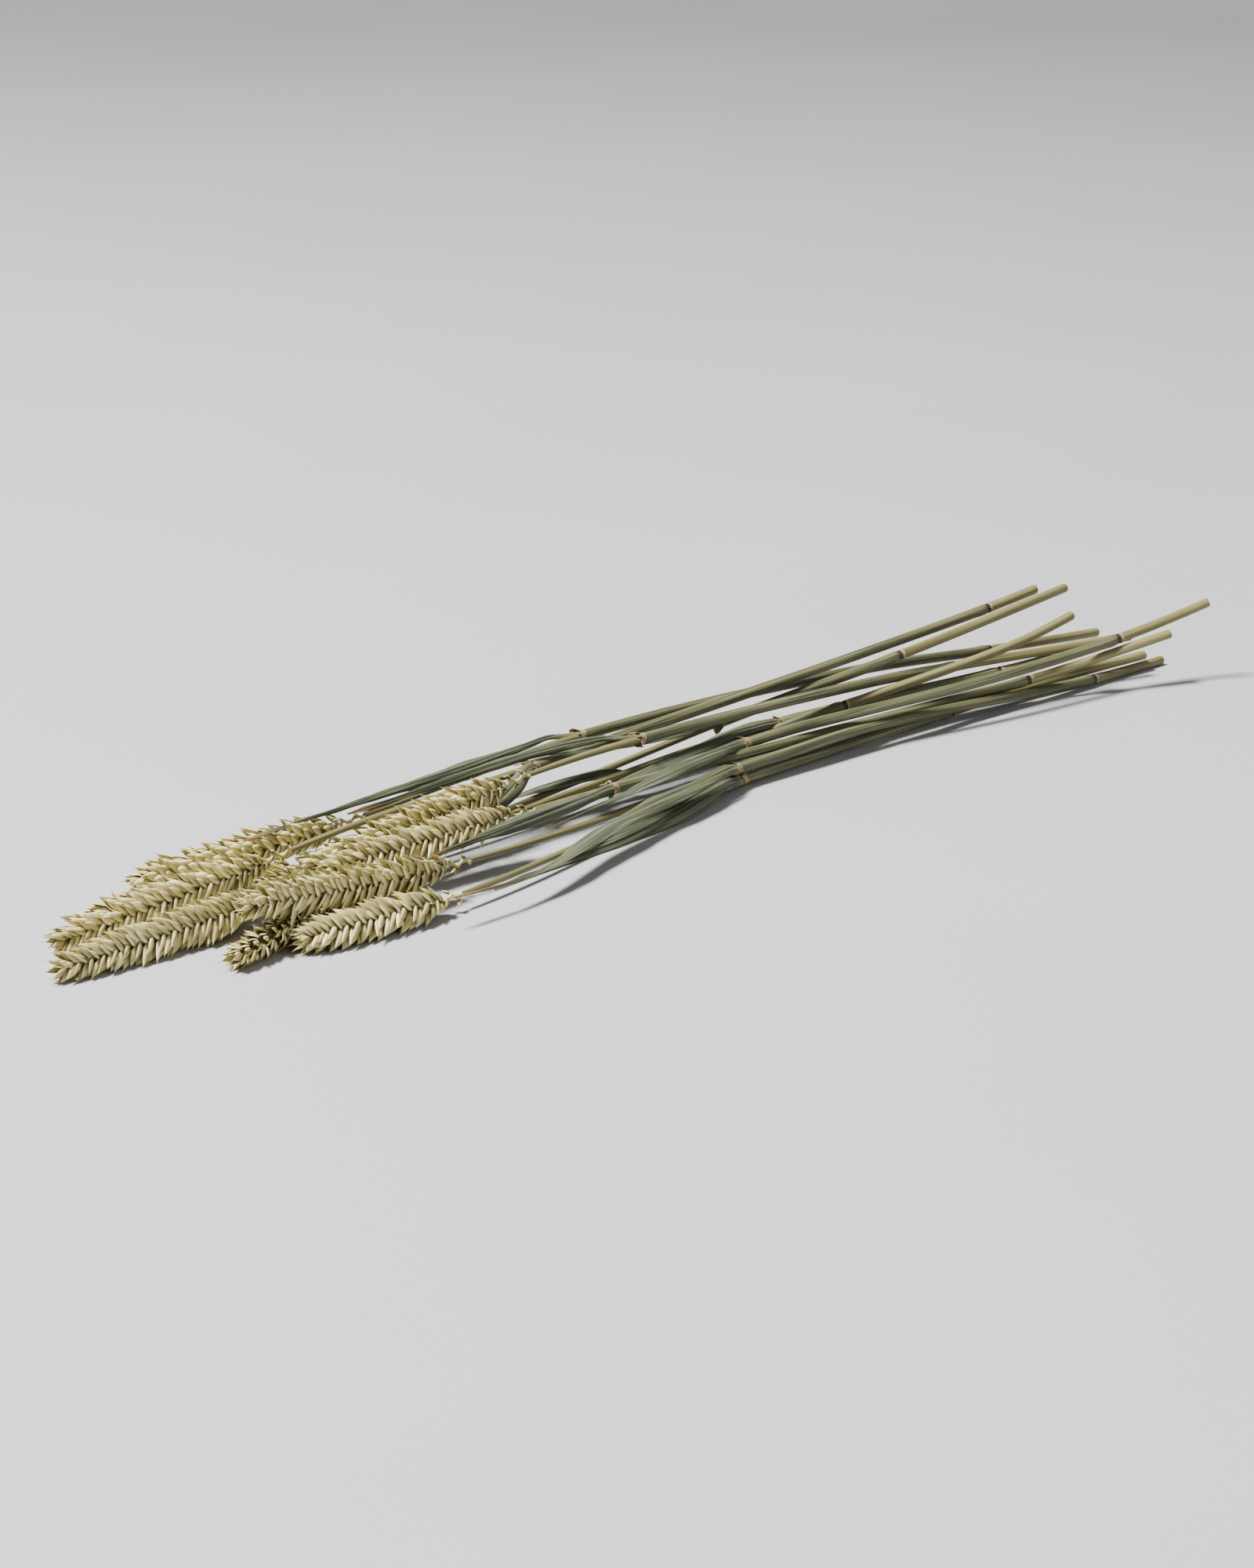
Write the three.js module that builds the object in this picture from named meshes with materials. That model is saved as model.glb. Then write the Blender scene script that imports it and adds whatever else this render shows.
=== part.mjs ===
// A loose bundle of ten dried wheat stalks, laid down on a table: ears at -X, cut straw ends at +X.
// Each stalk is a straw with its ear at the end, and a dry leaf blade that leaves the mouth of its
// sheath. The stalks and blades start from the lines they are given and press each other apart
// until every piece has room, with the table below them.
// Millimetres, +Z up. The origin is on the table, under the middle of the bundle.
import * as THREE from "three";

// ---- Driving dimensions ----
const BUNDLE_LENGTH = 588; // from the foremost ear's tip to the last butt
const BUNDLE_SPREAD = 102; // across the ears
const CLEARANCE = 0.7; // gap aimed for between neighbouring pieces
const NECK_GAP = 0.35; // between an ear and the straw that carries it
const EAR_HALF_WIDTH = 6.4; // across the two rows of spikelets
const EAR_HALF_DEPTH = 5.6; // through the ear, from its front to its back
const EAR_TIP_SHARE = 0.45; // width left at the ear's tip, as a share of its widest
const EAR_NECK_SHARE = 0.27; // width of the bare lowest part of the ear, in the same way
const SPIKELET_PITCH = 4.9; // from one spikelet to the next in the same row
const SPIKELET_NOTCH = 0.24; // depth of the notch between two spikelets, as a share of the radius
const NECK_STRAW_RADIUS = 1.35; // bare straw just below the ear
const SHEATH_RADIUS = 2.15; // straw wrapped in its leaf sheath
const BUTT_STRAW_RADIUS = 1.95; // bare straw beyond the knot
const KNOT_RADIUS = 2.5; // the swollen joint of a straw
const KNOT_LENGTH = 4.5;
const KNOT_SHOULDER = 1; // over which the knot falls off to the straw on each side
const COLLAR_LENGTH = 8; // over which the mouth of a sheath closes onto the bare straw
const BLADE_HALF_THICKNESS = 0.4;
const BLADE_ROOT_SHARE = 0.5; // width of a blade where it leaves its sheath, as a share of its widest
const BLADE_TIP_SHARE = 0.08;
const BLADE_ROOT_LEAN = 0.87; // how far round its straw a blade's root stands from the top, in radians

// ---- Resolution ----
const STATION = 2; // spacing along X of the sections at which clearance is worked out
const TRACE = 0.5; // spacing of the points that find those sections on a line
const STRAW_SIDES = 8;
const STRAW_STEP = 19;
const EAR_SIDES = 8;
const RINGS_PER_SPIKELET = 2;
const BLADE_SIDES = 6;
const BLADE_STEP = 8;
const PASSES = 500;
const FALL = 0.02; // how far every piece sinks at each of the first passes
const FALLING_PASSES = 75;
const STALK_STIFFNESS = 6; // smoothing passes after each push, which spread a bend along a piece
const BLADE_STIFFNESS = 2;
const TIED_STATIONS = 6; // stations of a blade that keep to its straw

// ---- The stalks ----
// Lengths in millimetres: ear is the ear, bare the naked straw from the ear to the mouth of the top
// leaf's sheath, and knot the distance from the straw's joint to its butt. route runs from the ear's
// tip to the butt: x, y and height above the table. The blade leaves the mouth of the sheath and goes
// over points counted from there in x and y, with their height above the table.
const ROUTE_LENGTH = 588; // the bundle's length and spread for which the routes are written
const ROUTE_SPREAD = 102;
const STALKS = [
  { ear: 72, bare: 178, knot: 120,
    route: [[-218, -30, 6], [-146, -35, 7], [30, -2, 5], [178, 6, 6], [278, -1, 8]],
    blade: { halfWidth: 4.8, over: [[-79, -16, 5], [-155, -26, 2]] } },
  { ear: 98, bare: 157, knot: 130,
    route: [[-260, 34, 6], [-162, 26, 8], [0, 18, 12], [110, 13, 20], [196, 2, 30], [228, 1, 36]],
    blade: { halfWidth: 4, over: [[-54, 4, 14], [-94, 8, 8]] } },
  { ear: 106, bare: 261, knot: 61,
    route: [[-296, 1, 6], [-190, 0, 12], [-86, 7, 14], [76, 19, 15], [190, 9, 16], [252, 9, 16]],
    blade: { halfWidth: 4.8, over: [[-51, -11, 18], [-131, -23, 16]] } },
  { ear: 102, bare: 160, knot: 50,
    route: [[-234, -22, 20], [-138, -24, 14], [24, -4, 9], [98, 0, 11], [242, 0, 5], [292, 2, 3]],
    blade: { halfWidth: 4.8, over: [[-86, -22, 14], [-146, -42, 12], [-194, -46, 14]] } },
  { ear: 104, bare: 183, knot: 46,
    route: [[-244, -33, 7], [-144, -4, 12], [38, 8, 16], [174, -6, 20], [258, -14, 26], [286, -27, 36]],
    blade: { halfWidth: 4.4, over: [[-58, -12, 20], [-128, -22, 16]] } },
  { ear: 100, bare: 124, knot: 34,
    route: [[-286, 15, 9], [-190, 8, 20], [-82, 14, 24], [54, 26, 28], [202, 23, 40], [232, 25, 42]],
    blade: { halfWidth: 4.4, over: [[-32, -12, 18], [-64, -20, 17]] } },
  { ear: 98, bare: 43, knot: 72,
    route: [[-184, -2, 12], [-90, -6, 18], [36, 4, 14], [200, 2, 11], [268, -22, 25]],
    blade: { halfWidth: 4, over: [[-46, -11, 20], [-106, -17, 18]] } },
  { ear: 100, bare: 185, knot: 108,
    route: [[-238, 20, 6], [-136, 14, 9], [56, 28, 20], [136, 16, 32], [244, 18, 42]],
    blade: { halfWidth: 4, over: [[-65, -8, 26], [-127, -16, 28]] } },
  { ear: 96, bare: 110, knot: 74,
    route: [[-231, 48, 8], [-150, 33, 17], [-24, 33, 27], [126, 27, 26], [200, 23, 21], [274, 24, 15]],
    blade: { halfWidth: 3, over: [[-94, 0, 25], [-166, 2, 20]] } },
  { ear: 108, bare: 62, knot: 97,
    route: [[-184, 10, 16], [-76, 9, 28], [-14, 12, 28], [122, 13, 24], [206, 9, 20], [266, -3, 20]],
    blade: { halfWidth: 3, over: [[-70, 8, 28], [-138, 12, 24]] } },
];

const onTable = ([x, y, z]) =>
  new THREE.Vector3((x * BUNDLE_LENGTH) / ROUTE_LENGTH, (y * BUNDLE_SPREAD) / ROUTE_SPREAD, z);
const line = (points) => new THREE.CatmullRomCurve3(points, false, "centripetal");

// ---- How pieces find room ----
// A piece is followed as sections at shared stations along X. first is the number of its first
// station, and y, z, across and above hold each section's place and half sizes. The line runs
// towards +X, and sizeAt gives the half sizes at a share of its length.
function strand(curve, sizeAt, stiffness) {
  const count = Math.round(curve.getLength() / TRACE);
  const dots = curve.getSpacedPoints(count);
  const first = Math.ceil(dots[0].x / STATION);
  const last = Math.floor(dots[count].x / STATION);
  const piece = { first, stiffness, y: [], z: [], across: [], above: [] };
  for (let station = first; station <= last; station++) {
    const dot = dots.findIndex((p) => p.x >= station * STATION);
    const tangent = curve.getTangentAt(dot / count);
    const [across, above] = sizeAt(dot / count);
    piece.y.push(dots[dot].y);
    piece.z.push(dots[dot].z);
    piece.across.push(across * Math.hypot(1, tangent.y / tangent.x));
    piece.above.push(above);
  }
  return { ...piece, startY: [...piece.y], startZ: [...piece.z] };
}

// Pushes two pieces apart, half way each, at every station where they are too close.
function pressApart(a, b) {
  const end = Math.min(a.first + a.y.length, b.first + b.y.length);
  for (let station = Math.max(a.first, b.first); station < end; station++) {
    const i = station - a.first;
    const j = station - b.first;
    const apart = Math.hypot(b.y[j] - a.y[i], b.z[j] - a.z[i]);
    const toY = (b.y[j] - a.y[i]) / apart;
    const toZ = (b.z[j] - a.z[i]) / apart;
    const reachA = Math.hypot(a.across[i] * toY, a.above[i] * toZ);
    const reachB = Math.hypot(b.across[j] * toY, b.above[j] * toZ);
    const push = Math.max(0, reachA + reachB + CLEARANCE - apart) / 2;
    a.y[i] -= toY * push;
    a.z[i] -= toZ * push;
    b.y[j] += toY * push;
    b.z[j] += toZ * push;
  }
}

// A stiff piece bends gently, so its shift from where it started is evened out along it.
function stiffen(values, start, passes) {
  let shift = values.map((value, i) => value - start[i]);
  for (let pass = 0; pass < passes; pass++) {
    shift = shift.map((own, i) => (2 * own + (shift[i - 1] ?? own) + (shift[i + 1] ?? own)) / 4);
  }
  shift.forEach((value, i) => { values[i] = start[i] + value; });
}

function keepAboveTable({ z, above }) {
  above.forEach((half, i) => { z[i] = Math.max(z[i], half); });
}

// A blade's root stays at one side of its straw, at the mouth of the sheath.
function tie({ stalk, blade, root }) {
  const last = blade.y.length - 1;
  const own = blade.first + last - stalk.first;
  const shiftY = stalk.y[own] + root.y - blade.y[last];
  const shiftZ = stalk.z[own] + root.z - blade.z[last];
  for (let i = Math.max(0, last - TIED_STATIONS); i <= last; i++) {
    blade.y[i] += shiftY;
    blade.z[i] += shiftZ;
  }
}

function settle(pairs) {
  const pieces = pairs.flatMap(({ stalk, blade }) => [stalk, blade]);
  for (let pass = 0; pass < PASSES; pass++) {
    const fall = pass < FALLING_PASSES ? FALL : 0;
    for (const piece of pieces) piece.z.forEach((z, i) => { piece.z[i] = z - fall; });
    pieces.forEach((a, i) => pieces.slice(i + 1).forEach((b) => pressApart(a, b)));
    pairs.forEach(tie);
    for (const piece of pieces) {
      keepAboveTable(piece);
      stiffen(piece.y, piece.startY, piece.stiffness);
      stiffen(piece.z, piece.startZ, piece.stiffness);
      keepAboveTable(piece);
    }
  }
}

// A settled piece's centre line, as evenly spaced points.
function centreLine({ first, y, z }) {
  const points = y.map((_, i) => new THREE.Vector3((first + i) * STATION, y[i], z[i]));
  const curve = new THREE.CatmullRomCurve3(points);
  return curve.getSpacedPoints(Math.round(curve.getLength() / STATION));
}

// ---- Solids ----
// A closed solid along points. rings are shares of the length, from 0 to 1. skin(share, angle)
// gives how far the surface stands sideways and upwards from the line.
function sweep(points, sides, rings, skin) {
  const curve = new THREE.CatmullRomCurve3(points);
  const steps = rings.length - 1;
  const geometry = new THREE.CylinderGeometry(1, 1, 1, sides, steps);
  const position = geometry.attributes.position;
  for (let i = 0; i < position.count; i++) {
    const share = rings[Math.round((position.getY(i) + 0.5) * steps)];
    const reach = Math.hypot(position.getX(i), position.getZ(i)); // 0 in the middle of an end face
    const [across, above] = skin(share, Math.atan2(position.getZ(i), position.getX(i)));
    const tangent = curve.getTangent(share);
    const side = tangent.clone().cross(new THREE.Vector3(0, 0, 1)).normalize();
    const rise = side.clone().cross(tangent);
    const place = curve.getPoint(share)
      .addScaledVector(side, across * reach)
      .addScaledVector(rise, above * reach);
    position.setXYZ(i, place.x, place.y, place.z);
  }
  geometry.computeVertexNormals();
  return geometry;
}

function evenRings(steps) {
  return Array.from({ length: steps + 1 }, (_, i) => i / steps);
}

// The stretch of a line of points from one distance to another.
function stretch(points, from, to) {
  const whole = new THREE.CatmullRomCurve3(points);
  const length = (points.length - 1) * STATION;
  const steps = Math.ceil((to - from) / STATION);
  return evenRings(steps).map((share) => whole.getPoint(Math.min(1, (from + share * (to - from)) / length)));
}

// The ear's width at a share of its length from the tip, as a share of its widest.
function earOutline(share) {
  const tip = THREE.MathUtils.smoothstep(share, -0.05, 0.22);
  const neck = THREE.MathUtils.smoothstep(share, 0.68, 0.95);
  return THREE.MathUtils.lerp(EAR_TIP_SHARE, 1, tip) * THREE.MathUtils.lerp(1, EAR_NECK_SHARE, neck);
}

function earGeometry(points, length) {
  const pitches = Math.round(length / SPIKELET_PITCH);
  return sweep(points, EAR_SIDES, evenRings(pitches * RINGS_PER_SPIKELET), (share, angle) => {
    const row = Math.cos(angle) > 0 ? 0 : 0.5; // the two rows alternate
    const notch = SPIKELET_NOTCH * (0.5 + 0.5 * Math.cos(2 * Math.PI * (share * pitches + row)));
    const size = earOutline(share) * (1 - notch * Math.abs(Math.cos(angle)));
    return [EAR_HALF_WIDTH * size * Math.cos(angle), EAR_HALF_DEPTH * size * Math.sin(angle)];
  });
}

// A straw's radius at a distance from its butt. collar is where its sheath ends.
function strawRadius({ collar, knot }, fromButt) {
  if (Math.abs(fromButt - knot) < (KNOT_LENGTH + KNOT_SHOULDER) / 2) return KNOT_RADIUS;
  if (fromButt < knot) return BUTT_STRAW_RADIUS;
  const closed = THREE.MathUtils.smoothstep(fromButt, collar, collar + COLLAR_LENGTH);
  return THREE.MathUtils.lerp(SHEATH_RADIUS, NECK_STRAW_RADIUS, closed);
}

// Rings stand at even steps, and closer round the collar and the knot.
function strawGeometry(points, places, length) {
  const { collar, knot } = places;
  const edge = KNOT_LENGTH / 2;
  const foot = edge + KNOT_SHOULDER;
  const close = [collar, collar + COLLAR_LENGTH, knot - foot, knot - edge, knot + edge, knot + foot];
  const even = evenRings(Math.round(length / STRAW_STEP)).map((share) => share * length);
  const clear = even.filter((at) => close.every((c) => Math.abs(at - c) > STRAW_STEP / 3));
  const fromButt = [...new Set([0, ...clear, ...close, length])].sort((a, b) => b - a);
  const rings = fromButt.map((at) => 1 - at / length);
  return sweep(points, STRAW_SIDES, rings, (share, angle) => {
    const radius = strawRadius(places, (1 - share) * length);
    return [radius * Math.cos(angle), radius * Math.sin(angle)];
  });
}

// A blade's half width at a share of its length from the sheath.
function bladeHalfWidth(halfWidth, share) {
  const opening = THREE.MathUtils.lerp(BLADE_ROOT_SHARE, 1, THREE.MathUtils.smoothstep(share, 0, 0.3));
  const narrowing = THREE.MathUtils.lerp(1, BLADE_TIP_SHARE, THREE.MathUtils.smoothstep(share, 0.45, 1));
  return halfWidth * opening * narrowing;
}

function bladeGeometry(points, halfWidth) {
  const length = (points.length - 1) * STATION;
  return sweep(points, BLADE_SIDES, evenRings(Math.round(length / BLADE_STEP)), (share, angle) => [
    bladeHalfWidth(halfWidth, share) * Math.cos(angle),
    BLADE_HALF_THICKNESS * Math.sin(angle),
  ]);
}

// ---- Materials ----
const finish = (color, roughness) => new THREE.MeshStandardMaterial({ color, roughness, metalness: 0 });
const STRAW_FINISH = finish("#a9a67c", 0.55);
const EAR_FINISH = finish("#c9bd8c", 0.75);
const BLADE_FINISH = finish("#8b9374", 0.7);

// ---- Assembly ----
const bundle = new THREE.Group();

function add(name, geometry, material) {
  const mesh = new THREE.Mesh(geometry, material);
  mesh.name = name;
  bundle.add(mesh);
}

// A stalk's half sizes at a distance from its ear's tip.
function stalkSize({ ear, knot }, length, collar, fromTip) {
  if (fromTip >= ear) return Array(2).fill(strawRadius({ collar, knot }, length - fromTip));
  const size = earOutline(fromTip / ear);
  return [EAR_HALF_WIDTH * size, EAR_HALF_DEPTH * size];
}

// The stalk and its blade, on the lines they are given.
const pairs = STALKS.map((made) => {
  const route = line(made.route.map(onTable));
  const length = route.getLength();
  const collar = length - made.ear - made.bare;
  const stalk = strand(route, (share) => stalkSize(made, length, collar, share * length), STALK_STIFFNESS);

  const { halfWidth, over } = made.blade;
  const mouth = route.getPointAt(1 - collar / length);
  const side = over[0][1] < 0 ? -1 : 1;
  const away = SHEATH_RADIUS + halfWidth * BLADE_ROOT_SHARE + CLEARANCE;
  const root = new THREE.Vector3(0, side * Math.sin(BLADE_ROOT_LEAN), Math.cos(BLADE_ROOT_LEAN));
  root.multiplyScalar(away);
  const tipFirst = over.map(([x, y, z]) => new THREE.Vector3(mouth.x + x, mouth.y + y, z)).reverse();
  const blade = strand(line([...tipFirst, mouth.clone().add(root)]), (share) => [
    bladeHalfWidth(halfWidth, 1 - share), BLADE_HALF_THICKNESS], BLADE_STIFFNESS);
  return { made, stalk, blade, root };
});
settle(pairs);

pairs.forEach(({ made, stalk, blade }, index) => {
  const number = String(index + 1).padStart(2, "0");
  const points = centreLine(stalk);
  const neck = made.ear + NECK_GAP;
  const end = (points.length - 1) * STATION;
  const places = { collar: end - made.ear - made.bare, knot: made.knot };
  add(`ear_${number}`, earGeometry(stretch(points, 0, made.ear), made.ear), EAR_FINISH);
  add(`straw_${number}`, strawGeometry(stretch(points, neck, end), places, end - neck), STRAW_FINISH);
  add(`blade_${number}`, bladeGeometry(centreLine(blade).reverse(), made.blade.halfWidth), BLADE_FINISH);
});

// The origin is put on the table, under the middle of the bundle.
const box = new THREE.Box3().setFromObject(bundle, true);
const middle = box.getCenter(new THREE.Vector3());
bundle.position.set(-middle.x, -middle.y, -box.min.z);

export default bundle;
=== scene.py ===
# %% [markdown]
# # A bundle of dried wheat
# Ten stalks of dried wheat lie loosely on a table: ears at one end, cut straws at the other. Every
# stalk has three grown parts: an ear made of papery husks, a straw with its leaf sheath and knot,
# and one dry leaf. The frame already holds a plain solid for each part. This lesson reads the
# middle line of each solid, and grows the real surface along it, so nothing is placed by eye.

# %% Load the frame
import math

import bpy
import numpy as np
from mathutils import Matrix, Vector


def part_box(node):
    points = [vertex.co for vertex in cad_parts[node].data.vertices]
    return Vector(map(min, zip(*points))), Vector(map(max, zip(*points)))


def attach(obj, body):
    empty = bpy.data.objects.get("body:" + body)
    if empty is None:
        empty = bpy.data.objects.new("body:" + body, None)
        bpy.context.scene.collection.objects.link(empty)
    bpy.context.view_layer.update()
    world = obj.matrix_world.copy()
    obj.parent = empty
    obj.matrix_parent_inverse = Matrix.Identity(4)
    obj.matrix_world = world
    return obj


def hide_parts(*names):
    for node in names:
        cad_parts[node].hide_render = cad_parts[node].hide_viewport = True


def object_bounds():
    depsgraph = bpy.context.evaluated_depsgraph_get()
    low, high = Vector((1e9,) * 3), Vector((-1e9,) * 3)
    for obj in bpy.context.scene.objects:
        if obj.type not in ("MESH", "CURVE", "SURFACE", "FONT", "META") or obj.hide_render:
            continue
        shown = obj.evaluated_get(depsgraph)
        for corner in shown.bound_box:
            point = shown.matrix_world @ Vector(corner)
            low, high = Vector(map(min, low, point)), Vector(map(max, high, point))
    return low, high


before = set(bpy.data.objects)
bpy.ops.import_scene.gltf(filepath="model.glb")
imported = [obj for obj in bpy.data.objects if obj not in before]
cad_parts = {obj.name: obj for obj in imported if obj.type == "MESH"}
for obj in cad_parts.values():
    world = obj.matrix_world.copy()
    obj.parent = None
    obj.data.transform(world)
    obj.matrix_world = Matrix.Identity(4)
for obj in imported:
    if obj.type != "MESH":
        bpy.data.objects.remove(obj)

MM = 0.001
STALKS = 10
cad_box = [[float(c) for c in corner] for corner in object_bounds()]
print("bundle, in mm:", [round((b - a) / MM) for a, b in zip(*cad_box)])

# %% [markdown]
# ## The middle line of a part
# A solid that runs along X can be cut by planes across X. Where its edges cross a plane they give
# the outline of the section: the middle of that outline is a point of the centre line, and its half
# height is the radius there. The solids have long flat facets, so the line is smoothed a little.

# %% The outline of a section
edge_ends = {}  # the two ends of each edge, kept for every node once it is read


def crossings(node, x):
    """The points where a frame node's edges cross the plane at x."""
    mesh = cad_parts[node].data
    if node not in edge_ends:
        corners = np.array([v.co for v in mesh.vertices])
        edge_ends[node] = corners[np.array([e.vertices for e in mesh.edges])]
    a, b = edge_ends[node][:, 0], edge_ends[node][:, 1]
    cut = (a[:, 0] - x) * (b[:, 0] - x) < 0
    share = (x - a[cut, 0]) / (b[cut, 0] - a[cut, 0])
    return a[cut] + share[:, None] * (b[cut] - a[cut])


def smooth(values, reach):
    """A running mean that keeps both ends where they are."""
    before = 2 * values[0] - values[reach:0:-1]
    after = 2 * values[-1] - values[-2:-reach - 2:-1]
    padded = np.concatenate([before, values, after])
    kernel = np.ones(2 * reach + 1) / (2 * reach + 1)
    return np.stack([np.convolve(padded[:, i], kernel, "valid") for i in range(3)], axis=1)


def ease(share):
    """Goes from 0 to 1 as share does, slowly at both ends."""
    share = min(1.0, max(0.0, share))
    return share * share * (3 - 2 * share)


low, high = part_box("ear_01")
print("points in the first ear's outline, halfway:", len(crossings("ear_01", (low[0] + high[0]) / 2)))

# %% [markdown]
# ### Distances and directions
# A surface that grows along a line asks the same things over and over: where is the point so many
# millimetres on, which way does the line run there, and which way is up? A small class answers them.

# %% Reading a centre line
CUT_STEP = MM  # between two cuts
END_GAP = 1.2 * MM  # the first and the last cut lie this far inside the solid
LOOK = 3 * MM  # how far to each side the direction is measured
REACHES = {"ear": 8, "straw": 12, "blade": 5}  # how many cuts on each side are smoothed together


class Line:
    """A centre line with distances along it, half widths and a frame of directions at every point."""

    def __init__(self, node, reach):
        low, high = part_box(node)
        cuts = np.arange(low[0] + END_GAP, high[0] - END_GAP, CUT_STEP)
        sections = [crossings(node, x) for x in cuts]
        middle = np.array([(s.max(0) + s.min(0)) / 2 for s in sections])
        self.width, self.radius = np.array([(s.max(0) - s.min(0))[1:] / 2 for s in sections]).T
        middle[:, 0] = cuts
        self.points = smooth(middle, reach)
        steps = np.linalg.norm(np.diff(self.points, axis=0), axis=1)
        self.far = np.concatenate([[0], np.cumsum(steps)])
        self.length = float(self.far[-1])

    def point(self, far):
        """The point at a distance along the line, which runs on straight past both ends."""
        beyond = min(far, 0) + max(far - self.length, 0)
        inside = min(max(far, 0), self.length)
        place = Vector([np.interp(inside, self.far, self.points[:, i]) for i in range(3)])
        return place + self.along(inside) * beyond

    def along(self, far):
        """The direction of the line, towards +X."""
        ends = [min(max(far + d, 0), self.length) for d in (-LOOK, LOOK)]
        a, b = [[np.interp(end, self.far, self.points[:, i]) for i in range(3)] for end in ends]
        return (Vector(b) - Vector(a)).normalized()

    def frame(self, far, roll=0.0):
        """Point, direction, side and up at a distance, with side and up rolled about the line."""
        along = self.along(far)
        side = along.cross(Vector((0, 0, 1))).normalized()
        up = side.cross(along)
        turned = side * math.cos(roll) + up * math.sin(roll)
        return self.point(far), along, turned, turned.cross(along)


lines = {}
for number in range(1, STALKS + 1):
    for kind, reach in REACHES.items():
        name = f"{kind}_{number:02d}"
        lines[name] = Line(name, reach)
print("lengths in mm:", {name: round(line.length / MM) for name, line in lines.items()})

# %% [markdown]
# ## Skins
# All the parts of wheat are long, closed shells: a husk is a boat, a straw is a tube and a leaf is a
# thin strip. One helper joins ring after ring of points into such a shell and closes both ends.
# Every point also keeps its place in the plant's own grain: across, round and along, in
# millimetres. Dry plants are striped lengthwise, so the materials paint along that grain. Unwrapped
# coordinates could do that too, but they have a seam, and here every shell would need its own.

# %% A shell from rings
PRESSED = 0.6 * MM  # the height below which the table pushes back
TABLE_GAP = 0.08  # the share of that height that always stays clear
SHARP = math.radians(55)  # faces that meet at more than this keep a crisp edge


def above_table(point):
    """Presses a point that would reach into the table against it."""
    if point.z < PRESSED:
        room = 1 - TABLE_GAP
        point.z = PRESSED * (TABLE_GAP + room * math.exp((point.z / PRESSED - 1) / room))
    return point


class Skin:
    """Collects closed shells. Every point has its grain in mm, and its reach from root to tip."""

    def __init__(self):
        self.points, self.grain, self.reach, self.tone = [], [], [], []
        self.faces, self.finish = [], []

    def shell(self, rings, marks, tone, finish=0, peak=None, loop=False):
        """Joins rings of points. peak ends it in one point, and loop joins its end to its start."""
        first, size, levels = len(self.points), len(rings[0]), len(rings)
        for ring, mark in zip(rings, marks):
            self.points += [above_table(point) for point in ring]
            self.grain += [m[:3] for m in mark]
            self.reach += [m[3] for m in mark]
        faces = []
        for level in range(levels if loop else levels - 1):
            low, high = first + level * size, first + (level + 1) % levels * size
            for i in range(size):
                j = (i + 1) % size
                faces.append((low + i, low + j, high + j, high + i))
        if not loop:
            faces.append(tuple(first + i for i in reversed(range(size))))
            top = first + (levels - 1) * size
            if peak is None:
                faces.append(tuple(top + i for i in range(size)))
            else:
                self.points.append(above_table(peak))
                self.grain.append(marks[-1][0][:3])
                self.reach.append(1.0)
                faces += [(top + i, top + (i + 1) % size, top + size) for i in range(size)]
        self.faces += faces
        self.finish += [finish] * len(faces)
        self.tone += [tone] * (len(self.points) - len(self.tone))

    def piece(self, name, materials, node, slot):
        """Makes the object that stands for a frame node."""
        mesh = bpy.data.meshes.new(name)
        mesh.from_pydata([tuple(p) for p in self.points], [], self.faces)
        for label, kind, field, values in (
            ("grain", "FLOAT_VECTOR", "vector", self.grain),
            ("reach", "FLOAT", "value", self.reach),
            ("tone", "FLOAT", "value", self.tone),
        ):
            layer = mesh.attributes.new(label, kind, "POINT")
            layer.data.foreach_set(field, np.array(values, dtype=np.float32).ravel())
        for material in materials:
            mesh.materials.append(material)
        mesh.polygons.foreach_set("material_index", self.finish)
        mesh.shade_smooth()
        mesh.set_sharp_from_angle(angle=SHARP)
        piece = bpy.data.objects.new(name, mesh)
        bpy.context.scene.collection.objects.link(piece)
        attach(piece, "root")
        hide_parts(node)
        return piece


print("a point 1 mm under the table comes up to, in mm:", round(above_table(Vector((0, 0, -MM))).z / MM, 3))

# %% [markdown]
# ## A husk
# A wheat husk is a little boat of dry paper: pointed at its tip, keeled along its back, hollow inside
# and thin at its edges. It is lofted from crescent rings along its length, and its middle line can
# curl. Carving it from a sphere would leave the edges and the point soft.

# %% One husk
HUSK_SIDES = 10
HUSK_RINGS = 9
HUSK_KEEL = 0.22  # how far the keel stands out, as a share of the husk's depth
HUSK_HOLLOW = 0.55  # how deep the inside is, in the same way
KEEL_CREST = 10  # the higher this is, the narrower the keel
WIDEST = 0.38  # where a husk is widest, as a share of its length
LAST_RING = 0.96  # where its last ring lies, in the same way, just before its point
TAPER = 1.7  # the higher this is, the blunter its front


def fullness(share):
    """How wide a husk is along its length, from its root to its tip, as a share of its widest."""
    if share < WIDEST:
        return 0.5 + 0.5 * math.sin(math.pi / 2 * share / WIDEST)
    return 1 - ((share - WIDEST) / (1 - WIDEST)) ** TAPER


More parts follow.
